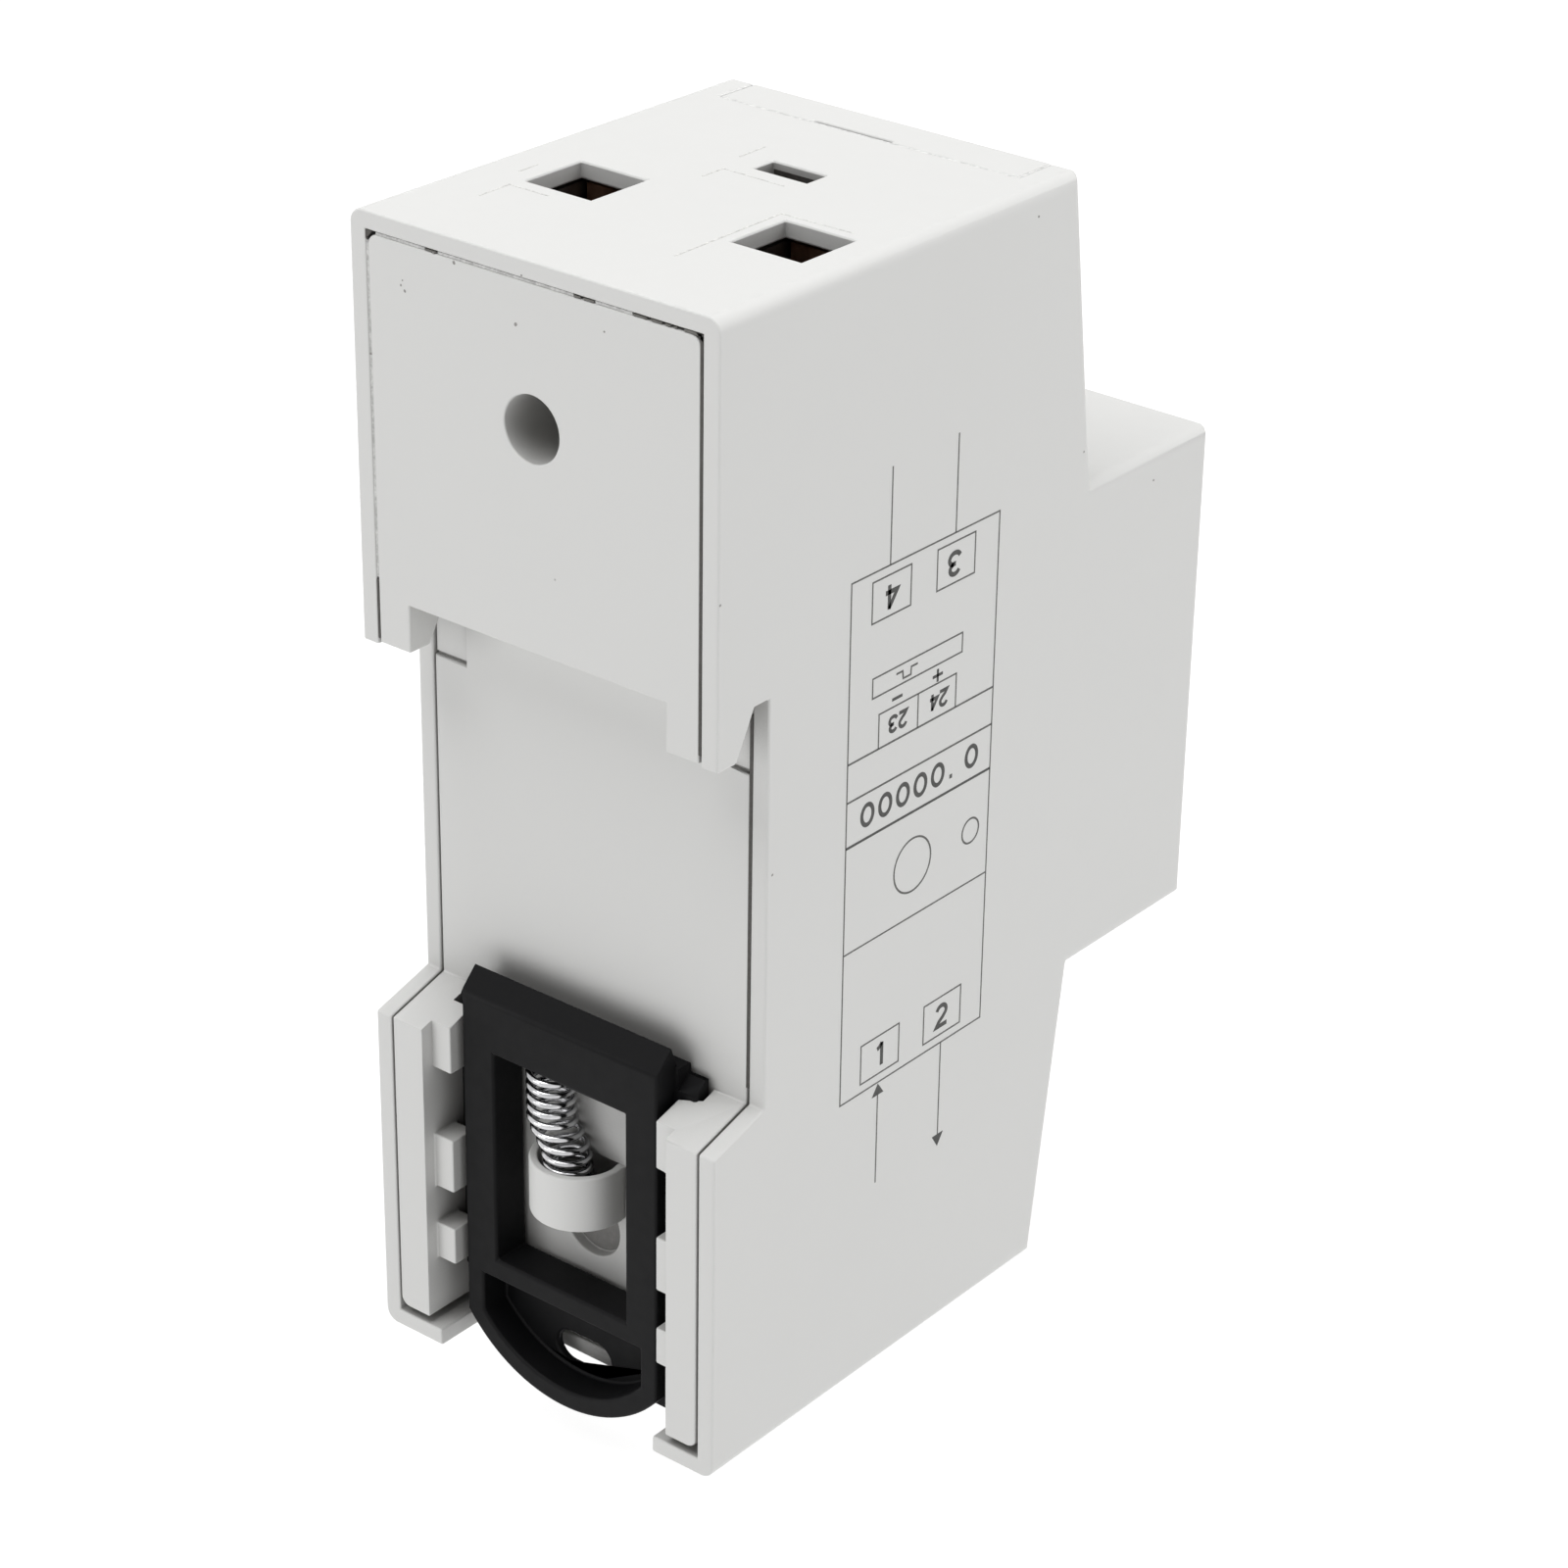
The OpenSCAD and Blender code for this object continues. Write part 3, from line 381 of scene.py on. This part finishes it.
SLOTS = {row["node"]: row["material_slot"] for row in record["subparts"]}


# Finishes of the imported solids

for name, obj in nodes.items():
    obj.data.materials.clear()
    obj.data.materials.append(LOOKS[SLOTS[name]])

SOFT_EDGES = {
    "outer_case": 0.00018,
    "back_base": 0.00016,
    "rail_latch": 0.00028,
    "upper_terminal_cover": 0.00016,
    "lower_terminal_cover": 0.00016,
}
for name, width in SOFT_EDGES.items():
    soften(name, width)


# The coil spring: a smooth round wire in the place of the plain one

WIRE_R = 0.000275
TURNS = 12


def smooth_step(u):
    v = max(0.0, min(1.0, u))
    return v*v*(3 - 2*v)


def coil_spring():
    low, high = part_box("latch_spring")
    z0, z1 = low[2] + WIRE_R, high[2] - WIRE_R
    mouth = z0 + 0.0043 + 0.0001
    path = []
    steps = TURNS*28
    r = (0.0042 - 2*WIRE_R)/2
    for i in range(steps + 1):
        t = i/steps
        z = z0 + (z1 - z0)*t
        lean = smooth_step((z - mouth)/0.0035)
        sink = smooth_step((mouth - z)/0.004)
        x = 0.0007 + 0.0016*lean
        y = 0.006 - (0.0038 + 0.0008*sink)
        a = 2*math.pi*TURNS*t
        path.append(Vector((x + r*math.cos(a), y - r*math.sin(a), z)))
    return path


def tube(name, path, radius, sides, material):
    """A round wire along a path, with flat ends."""
    verts, faces = [], []
    count = len(path)
    side = None
    for i, p in enumerate(path):
        ahead = (path[min(i + 1, count - 1)] - path[max(i - 1, 0)]).normalized()
        if side is None:
            side = ahead.orthogonal().normalized()
        side = (side - ahead*side.dot(ahead)).normalized()
        up = ahead.cross(side)
        for k in range(sides):
            a = 2*math.pi*k/sides
            verts.append(p + (side*math.cos(a) + up*math.sin(a))*radius)
    for i in range(count - 1):
        for k in range(sides):
            n = (k + 1) % sides
            faces.append((i*sides + k, i*sides + n, (i + 1)*sides + n, (i + 1)*sides + k))
    faces.append(tuple(reversed(range(sides))))
    faces.append(tuple((count - 1)*sides + k for k in range(sides)))
    obj = mesh_object(name, verts, faces, material)
    for p in obj.data.polygons:
        p.use_smooth = len(p.vertices) == 4
    return obj


coil = tube("coil_spring", coil_spring(), WIRE_R, 14, LOOKS["spring"])
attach(coil, "root")
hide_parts("latch_spring")
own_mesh(coil)


# The printed line drawing on the left side, in millimetres of (Y, Z)

SIDE_X, REAR_Y, SEAT_Y, SLOT_Y, TOP_Z = -0.018, 0.006, 0.0, -0.02345, 0.0495
TOP_END = -37.2
PROUD = 0.000012
SUNK = 0.00003


SIDE, REAR, SEAT, SLOT, TOP = "side", "rear", "seat", "slot", "top"
PLANES = {
    SIDE: lambda u, v, out: (SIDE_X - out, u*MM, v*MM),
    REAR: lambda u, v, out: (u*MM, REAR_Y + out, v*MM),
    SEAT: lambda u, v, out: (u*MM, SEAT_Y + out, v*MM),
    SLOT: lambda u, v, out: (u*MM, SLOT_Y + out, v*MM),
    TOP: lambda u, v, out: (v*MM, u*MM, TOP_Z + out),
}


random.seed(7)


class Drawing:
    """Thin strokes and plates on one flat side of the case, which reach from sunk to proud."""

    def __init__(self, plane=SIDE, proud=PROUD, sunk=SUNK):
        self.verts, self.faces = [], []
        self.place, self.levels = PLANES[plane], (proud, -sunk)

    def plate(self, outline):
        """A thin plate with a convex outline."""
        base = len(self.verts)
        area = sum(a[0]*b[1] - b[0]*a[1] for a, b in zip(outline, outline[1:] + outline[:1]))
        if area < 0:
            outline = outline[::-1]
        n = len(outline)
        for level in self.levels:
            self.verts += [self.place(u, v, level) for u, v in outline]
        self.faces.append(tuple(base + i for i in reversed(range(n))))
        self.faces.append(tuple(base + n + i for i in range(n)))
        for i in range(n):
            j = (i + 1) % n
            self.faces.append((base + i, base + j, base + n + j, base + n + i))

    def line(self, a, b, width, ends=0.0):
        ax, az = a
        bx, bz = b
        length = math.hypot(bx - ax, bz - az)
        ux, uz = (bx - ax)/length, (bz - az)/length
        ax, az, bx, bz = ax - ux*ends, az - uz*ends, bx + ux*ends, bz + uz*ends
        px, pz = -uz*width/2, ux*width/2
        self.plate([(ax + px, az + pz), (ax - px, az - pz), (bx - px, bz - pz), (bx + px, bz + pz)])

    def path(self, points, width, closed=False):
        """A stroke of even width with mitred corners, as one band of quads."""
        n = len(points)
        left, right = [], []
        for i, (y, z) in enumerate(points):
            before = points[(i - 1) % n] if closed or i else None
            after = points[(i + 1) % n] if closed or i < n - 1 else None
            normals = []
            for a, b in ((before, (y, z)), ((y, z), after)):
                if a is None or b is None:
                    continue
                d = math.hypot(b[0] - a[0], b[1] - a[1])
                normals.append((-(b[1] - a[1])/d, (b[0] - a[0])/d))
            if len(normals) == 1:
                m = normals[0]
                reach = 1.0
            else:
                m = (normals[0][0] + normals[1][0], normals[0][1] + normals[1][1])
                size = math.hypot(*m) or 1.0
                m = (m[0]/size, m[1]/size)
                reach = 1.0/max(0.35, m[0]*normals[0][0] + m[1]*normals[0][1])
            left.append((y + m[0]*reach*width/2, z + m[1]*reach*width/2))
            right.append((y - m[0]*reach*width/2, z - m[1]*reach*width/2))
        base = len(self.verts)
        for level in self.levels:
            for l, r in zip(left, right):
                self.verts += [self.place(*l, level), self.place(*r, level)]
        top = 2*n
        spans = range(n) if closed else range(n - 1)
        for i in spans:
            a, b = base + 2*i, base + 2*((i + 1) % n)
            self.faces.append((a, b, b + 1, a + 1))
            self.faces.append((a + top, a + top + 1, b + top + 1, b + top))
            self.faces.append((a, a + top, b + top, b))
            self.faces.append((a + 1, b + 1, b + top + 1, a + top + 1))
        if not closed:
            a, b = base, base + 2*(n - 1)
            self.faces.append((a, a + 1, a + top + 1, a + top))
            self.faces.append((b, b + top, b + top + 1, b + 1))

    def box(self, y0, y1, z0, z1, width):
        self.path([(y0, z0), (y1, z0), (y1, z1), (y0, z1)], width, closed=True)

    def ring(self, y, z, ry, rz, width, steps=48):
        self.path([(y + ry*math.cos(2*math.pi*i/steps), z + rz*math.sin(2*math.pi*i/steps))
                   for i in range(steps)], width, closed=True)

    def fleck(self, u, v, size):
        """A small irregular mark."""
        turn = random.uniform(0, 2*math.pi)
        self.plate([(u + size*reach*math.cos(turn + 2*math.pi*i/7)*0.5,
                     v + size*reach*math.sin(turn + 2*math.pi*i/7)*0.5)
                    for i, reach in enumerate((1.0, 0.85, 0.8, 1.0, 0.9, 0.75, 0.9))])

    def piece(self, name, material):
        obj = mesh_object(name, self.verts, self.faces, material)
        bm = bmesh.new()
        bm.from_mesh(obj.data)
        bmesh.ops.recalc_face_normals(bm, faces=bm.faces)
        bm.to_mesh(obj.data)
        bm.free()
        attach(obj, "root")
        return obj


def arc(cx, cz, rx, rz, a0, a1, steps):
    """Points of an arc, in degrees, where u runs right and v up."""
    return [(cx + rx*math.cos(math.radians(a0 + (a1 - a0)*i/steps)),
             cz + rz*math.sin(math.radians(a0 + (a1 - a0)*i/steps))) for i in range(steps + 1)]


# Strokes of plain digits in a cell 1 wide and 1.5 high about its middle
DIGITS = {
    "0": [(arc(0, 0, 0.4, 0.66, 0, 360, 30)[:-1], True)],
    "1": [([(-0.26, 0.42), (-0.1, 0.5), (0.04, 0.64), (0.1, 0.75)], False), ([(0.1, 0.75), (0.1, -0.75)], False)],
    "2": [(arc(0, 0.3, 0.38, 0.38, 165, -30, 14) + [(0.12, -0.12), (-0.2, -0.36), (-0.4, -0.65), (0.45, -0.65)],
           False)],
    "3": [(arc(-0.02, 0.33, 0.36, 0.32, 160, -80, 14) + [(-0.1, 0.02)], False),
          (arc(-0.02, -0.29, 0.42, 0.36, 80, -165, 16), False)],
    "4": [([(0.18, -0.75), (0.18, 0.7)], False), ([(0.2, 0.66), (-0.42, -0.32), (0.46, -0.32)], False)],
}


def digit(drawing, char, y, z, height, width, weight, turned=False):
    """Draws a digit with its middle at (y, z). Seen from the left, right is the way to the face."""
    s = -1.0 if turned else 1.0
    for points, closed in DIGITS[char]:
        drawing.path([(y - s*u*width, z + s*v*height/1.5) for u, v in points], weight, closed)


THIN, MEDIUM, THICK = 0.14, 0.17, 0.23
Y0, Y1 = -9.55, -28.2
lines = Drawing()
lines.box(Y0, Y1, -21.65, 24.1, THIN)
lines.line((Y0, 8.83), (Y1, 8.83), MEDIUM)
lines.line((Y0, 5.52), (Y1, 5.52), MEDIUM)
lines.line((Y0, -7.95), (Y1, -7.95), THIN)
lines.box(-12.15, -16.95, 19.85, 23.3, THIN)
lines.box(-20.25, -25.1, 19.85, 23.35, THIN)
lines.box(-12.45, -23.85, 13.45, 15.13, THIN)
lines.path([(-13.35, 8.83), (-13.35, 11.8), (-23.2, 11.8), (-23.2, 8.83)], THIN)
lines.line((-18.3, 8.83), (-18.3, 11.8), THIN)
lines.box(-12.15, -17.1, -20.85, -17.3, THIN)
lines.box(-20.4, -25.35, -20.85, -17.28, THIN)
lines.ring(-18.2, -3.25, 2.38, 2.38, MEDIUM)
lines.ring(-25.85, -3.23, 1.1, 1.1, MEDIUM, 36)
lines.line((-14.27, 24.1), (-14.27, 32.2), THIN)
lines.line((-22.5, 24.1), (-22.5, 32.4), THIN)
lines.line((-14.48, -22.7), (-14.48, -31.2), THIN)
lines.line((-22.82, -21.65), (-22.82, -30.5), THIN)
lines.path([(-15.4, 14.5), (-16.2, 14.5), (-16.28, 13.85), (-17.25, 13.85), (-17.3, 14.5), (-18.1, 14.5)], MEDIUM)
lines.piece("side_drawing", LINE_INK)

bold = Drawing()
bold.line((Y0, 1.55), (Y1, 1.55), THICK)
bold.plate([(-14.48, -21.78), (-13.72, -22.85), (-15.24, -22.85)])
bold.plate([(-22.82, -31.65), (-22.08, -30.5), (-23.58, -30.5)])
bold.line((-14.95, 12.45), (-16.25, 12.45), 0.26)
bold.line((-20.1, 12.5), (-21.4, 12.5), 0.26)
bold.path([(-20.75, 11.95), (-20.75, 13.05)], 0.26)
digit(bold, "4", -14.55, 21.4, 2.1, 1.65, 0.4, turned=True)
digit(bold, "3", -22.45, 21.5, 2.1, 1.65, 0.4, turned=True)
for char, y in (("2", -21.6), ("4", -20.35)):
    digit(bold, char, y, 10.3, 1.45, 1.1, 0.31, turned=True)
for char, y in (("2", -16.4), ("3", -15.15)):
    digit(bold, char, y, 10.35, 1.45, 1.1, 0.31, turned=True)
for y in (-12.19, -14.44, -16.69, -18.94, -21.19, -25.62):
    digit(bold, "0", y, 3.6, 2.0, 1.75, 0.38)
bold.plate([(-22.75, 2.65), (-23.1, 2.65), (-23.1, 3.0), (-22.75, 3.0)])
digit(bold, "1", -14.7, -19.1, 2.1, 1.65, 0.4)
digit(bold, "2", -22.8, -19.1, 2.1, 1.65, 0.4)
bold.piece("side_figures", PRINT_INK)


# Dirt in the joints of the base, painted shade in the ejector mark, and the flecks on the case

joint = Drawing(REAR, proud=-0.00002, sunk=0.0004)
joint.line((-16.29, 47.85), (-16.29, 15.0), 0.25)
joint.line((16.3, 19.6), (16.3, 14.6), 0.2)
joint.plate([(16.41, 48.01), (15.7, 48.01), (16.41, 47.3)])
joint.plate([(-16.41, 48.01), (-15.75, 48.01), (-16.41, 47.4)])
joint.piece("rear_joint_dirt", DIRT_AND_SHADE)
joint = Drawing(REAR, proud=-0.00002, sunk=0.0004)
for start, end, width in ((10.3, 9.2, 0.1), (-4.3, -4.9, 0.12), (-5.2, -6.2, 0.14), (-9.9, -11.2, 0.1),
                          (-11.6, -12.6, 0.13), (-12.9, -13.4, 0.12), (-13.7, -14.0, 0.1),
                          (-14.7, -16.3, 0.2)):
    joint.line((start, 47.9), (end, 47.9), width)
joint.piece("top_joint_dirt", FAINT_DIRT)
joint = Drawing(SEAT, proud=-0.00002, sunk=0.0006)
joint.line((-16.28, 16.1), (-16.28, -16.2), 0.3)
joint.piece("seat_joint_dirt", DIRT_AND_SHADE)
# Painted shade: a dark plate on the floor of the ejector mark below the cup
shade = Drawing(SEAT, proud=-0.00097, sunk=0.00101)
shade.plate([(2.9*math.cos(2*math.pi*i/48), -35.5 + 2.9*math.sin(2*math.pi*i/48)) for i in range(48)])
shade.piece("ejector_mark_shade", MARK_SHADE)
# Pale dust keeps the joint at the top and on the left faint
dust = Drawing(REAR, proud=-0.00008, sunk=0.0004)
for start, end in ((15.4, 10.4), (9.1, -4.2), (-6.3, -9.8)):
    dust.line((start, 47.9), (end, 47.9), 0.2)
dust.line((16.3, 47.2), (16.3, 19.8), 0.2)
dust.piece("rear_joint_dust", DUST)

# Fine frames moulded round the entries in a grey painted shade, painted shade in the pulse entry, and the dust in
# the seam of the cover
frames = Drawing(TOP, proud=0.00003)
for points in (((-1.8, -7.1), (-14.2, -6.9), (-14.4, -13.6)), ((-2.1, 12.4), (-5.5, 12.5), (-5.5, 8.5)),
               ((-8.2, 14.0), (-10.4, 14.1)), ((-16.8, 3.0), (-19.3, 3.0), (-19.2, -3.1)),
               ((-22.3, 3.9), (-25.5, 4.0))):
    frames.path(list(points), 0.14)
frames.piece("entry_frames", FRAME_SHADE)
# Painted shade: a dark plate on the thin wall of the pulse entry stands for the dark above its terminals
low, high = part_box("pulse_terminal_block")
slot_x = (low[0] + high[0])/2/MM
shade = Drawing(SLOT, proud=0.00004, sunk=0.00002)
shade.plate([(slot_x - 2.64, 48.82), (slot_x + 2.64, 48.82), (slot_x + 2.64, 48.0), (slot_x - 2.64, 48.0)])
shade.piece("pulse_entry_shade", DIRT_AND_SHADE)
low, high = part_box("upper_terminal_cover")
x0, x1, y1 = low[0]/MM - 0.1, high[0]/MM + 0.1, high[1]/MM + 0.1
dust = Drawing(TOP, proud=-0.00003, sunk=0.0004)
dust.path([(TOP_END, x0), (y1, x0), (y1, x1), (TOP_END, x1)], 0.2)
dust.piece("cover_seam_dust", PALE_DUST)

flecks = Drawing(REAR)
for x, z, size in ((12.87, 44.48, 0.22), (12.49, 44.11, 0.28), (7.42, 47.56, 0.34), (9.48, 47.82, 0.2),
                   (0.74, 48.21, 0.2), (1.39, 44.29, 0.36), (16.26, 38.18, 0.22), (12.7, 44.9, 0.16),
                   (-7.2, 45.9, 0.2)):
    flecks.fleck(x, z, size)
flecks.piece("rear_flecks", FLECK)
flecks = Drawing(SIDE)
for y, z, size in ((5.78, 27.6, 0.24), (-31.73, 47.36, 0.25), (-49.68, 19.91, 0.25), (-0.59, 2.99, 0.25),
                   (-39.37, 25.62, 0.22)):
    flecks.fleck(y, z, size)
flecks.piece("side_flecks", FLECK)


# Camera, floor and light

R = ((-0.7943961788, -0.6066273650, 0.0306259894),
     (-0.2916232732, 0.3366883584, -0.8953193932),
     (0.5328138302, -0.7201695560, -0.4443706031))
camera_data = bpy.data.cameras.new("camera")
camera_data.lens = 95.28
camera_data.sensor_width = 36.0
camera_data.shift_x = -0.1
camera_data.shift_y = -0.025
camera_data.clip_start = 0.01
camera_data.clip_end = 10.0
camera = bpy.data.objects.new("camera", camera_data)
bpy.context.scene.collection.objects.link(camera)
right, up, back = Vector(R[0]), -Vector(R[1]), -Vector(R[2])
place = Matrix((right, up, back)).transposed().to_4x4()
place.translation = (-0.19271, 0.21468, 0.15187)
camera.matrix_world = place
bpy.context.scene.camera = camera

# The floor leaves room below for the open latch
FLOOR_Z = -0.0557
TABLE_GLOW = 0.93
AMBIENT = 0.13


def floor_material():
    """A lit table: the camera and reflections see white with a faint shadow of the object, and the
    object gets light from below."""
    mat = bpy.data.materials.new("studio_floor")
    mat.use_nodes = True
    tree = mat.node_tree
    tree.nodes.clear()
    out = tree.nodes.new("ShaderNodeOutputMaterial")
    glow = tree.nodes.new("ShaderNodeEmission")
    glow.inputs["Strength"].default_value = TABLE_GLOW
    pale = tree.nodes.new("ShaderNodeEmission")
    pale.inputs["Strength"].default_value = 0.85
    matt = tree.nodes.new("ShaderNodeBsdfDiffuse")
    matt.inputs["Color"].default_value = (0.35, 0.35, 0.35, 1.0)
    white = tree.nodes.new("ShaderNodeAddShader")
    tree.links.new(pale.outputs[0], white.inputs[0])
    tree.links.new(matt.outputs[0], white.inputs[1])
    mix = tree.nodes.new("ShaderNodeMixShader")
    path = tree.nodes.new("ShaderNodeLightPath")
    tree.links.new(direct_view(tree, path), mix.inputs[0])
    tree.links.new(glow.outputs[0], mix.inputs[1])
    tree.links.new(white.outputs[0], mix.inputs[2])
    # Seen from below, the floor is clear
    below = tree.nodes.new("ShaderNodeNewGeometry")
    clear_floor = tree.nodes.new("ShaderNodeBsdfTransparent")
    sides = tree.nodes.new("ShaderNodeMixShader")
    tree.links.new(below.outputs["Backfacing"], sides.inputs[0])
    tree.links.new(mix.outputs[0], sides.inputs[1])
    tree.links.new(clear_floor.outputs[0], sides.inputs[2])
    tree.links.new(sides.outputs[0], out.inputs["Surface"])
    return mat


def direct_view(tree, path):
    """1 for rays from the camera, or through a reflection or a clear piece."""
    first = tree.nodes.new("ShaderNodeMath")
    first.operation = "MAXIMUM"
    second = tree.nodes.new("ShaderNodeMath")
    second.operation = "MAXIMUM"
    tree.links.new(path.outputs["Is Camera Ray"], first.inputs[0])
    tree.links.new(path.outputs["Is Glossy Ray"], first.inputs[1])
    tree.links.new(first.outputs[0], second.inputs[0])
    tree.links.new(path.outputs["Is Transmission Ray"], second.inputs[1])
    return second.outputs[0]


floor = mesh_object("floor", [(-3, -3, FLOOR_Z), (3, -3, FLOOR_Z), (3, 3, FLOOR_Z), (-3, 3, FLOOR_Z)],
                    [(0, 1, 2, 3)], floor_material())

world = bpy.data.worlds.new("studio")
bpy.context.scene.world = world
world.use_nodes = True
tree = world.node_tree
tree.nodes.clear()
world_out = tree.nodes.new("ShaderNodeOutputWorld")
ambient = tree.nodes.new("ShaderNodeBackground")
ambient.inputs["Color"].default_value = (1.0, 1.0, 1.0, 1.0)
ambient.inputs["Strength"].default_value = AMBIENT
white = tree.nodes.new("ShaderNodeBackground")
white.inputs["Color"].default_value = (1.0, 1.0, 1.0, 1.0)
white.inputs["Strength"].default_value = 1.0
world_mix = tree.nodes.new("ShaderNodeMixShader")
world_path = tree.nodes.new("ShaderNodeLightPath")
tree.links.new(direct_view(tree, world_path), world_mix.inputs[0])
tree.links.new(ambient.outputs[0], world_mix.inputs[1])
tree.links.new(white.outputs[0], world_mix.inputs[2])
tree.links.new(world_mix.outputs[0], world_out.inputs["Surface"])


def lamp(name, place, aim, size, watts):
    data = bpy.data.lights.new(name, "AREA")
    data.shape = "SQUARE"
    data.size = size
    data.energy = watts
    obj = bpy.data.objects.new(name, data)
    bpy.context.scene.collection.objects.link(obj)
    obj.location = place
    obj.rotation_euler = (Vector(aim) - Vector(place)).to_track_quat("-Z", "Y").to_euler()
    return obj


lamp("lamp_above", (0.0, -0.1, 0.9), (0.0, 0.0, 0.0), 0.6, 5.2)
lamp("lamp_high_back", (0.1, 0.45, 0.9), (0.0, 0.0, 0.0), 0.5, 3.2)
lamp("lamp_left", (-0.85, -0.35, 0.2), (0.0, 0.0, 0.0), 0.5, 2.15)
lamp("lamp_back", (0.35, 0.85, 0.1), (0.0, 0.0, 0.0), 0.5, 1.55)

bpy.context.scene.view_settings.view_transform = "Standard"
